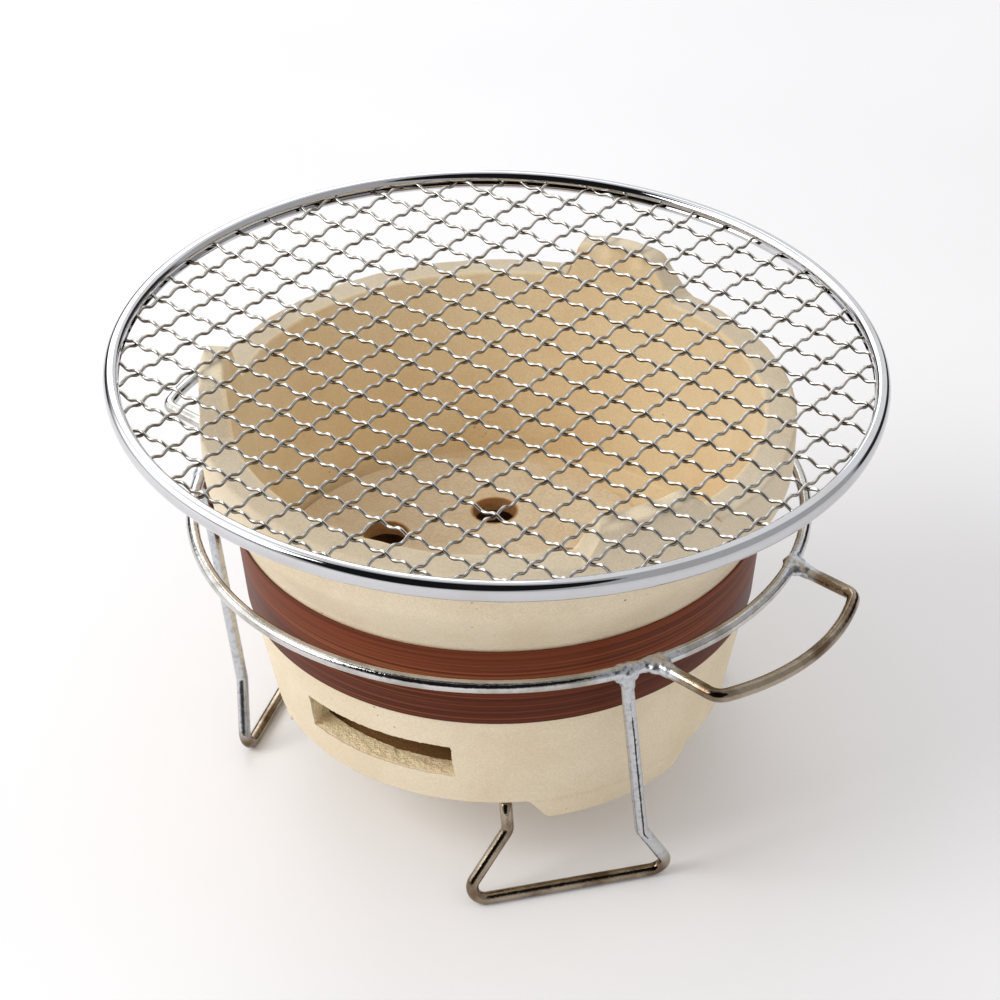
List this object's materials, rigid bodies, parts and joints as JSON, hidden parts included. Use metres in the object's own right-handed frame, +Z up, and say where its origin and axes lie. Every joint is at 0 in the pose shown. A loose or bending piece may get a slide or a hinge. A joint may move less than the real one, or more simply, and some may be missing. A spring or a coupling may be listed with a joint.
{
  "type": "charcoal brazier",
  "caption": "Round table-top earthenware charcoal brazier in a bent-wire carrier with side handles, a loose pierced grate and a loose crimped-wire net grill",
  "frame": {"origin": "on the table, on the fire bowl's upright axis, under the middle of the grill", "axes": "+Z up; -Y towards the picture's viewer; +X to the viewer's right; the air slot looks towards -Y and a little to -X"},
  "size_m": [0.3001, 0.3001, 0.1962],
  "materials": {
    "wire": "plated, slightly dulled",
    "weld": "rough",
    "clay": "matte, unglazed",
    "band": "satin, fine horizontal streaks",
    "baked_clay": "matte, unglazed",
    "grill_chrome": "polished",
    "grill_wire": "plated"
  },
  "bodies": {
    "carrier": {"ring": "wire", "leg_front": "wire", "leg_rear_right": "wire", "leg_rear_left": "wire", "handle_right": "wire", "handle_left": "wire", "weld_leg_front": "weld", "weld_leg_rear_right": "weld", "weld_leg_rear_left": "weld", "weld_handle_right_a": "weld", "weld_handle_right_b": "weld", "weld_handle_left_a": "weld", "weld_handle_left_b": "weld", "weld_hub": "weld"},
    "bowl": {"bowl": "clay", "waist_band": "band"},
    "grate": {"grate": "baked_clay"},
    "grill": {"grill_rim": "grill_chrome", "grill_net": "grill_wire"}
  },
  "joints": [
    {"name": "bowl_lift", "type": "slide", "parent": "carrier", "child": "bowl", "axis": [0, 0, 1], "range_m": [0, 0.11]},
    {"name": "grate_lift", "type": "slide", "parent": "bowl", "child": "grate", "axis": [0, 0, 1], "range_m": [0, 0.09]},
    {"name": "grill_lift", "type": "slide", "parent": "bowl", "child": "grill", "axis": [0, 0, 1], "range_m": [0, 0.1]}
  ]
}
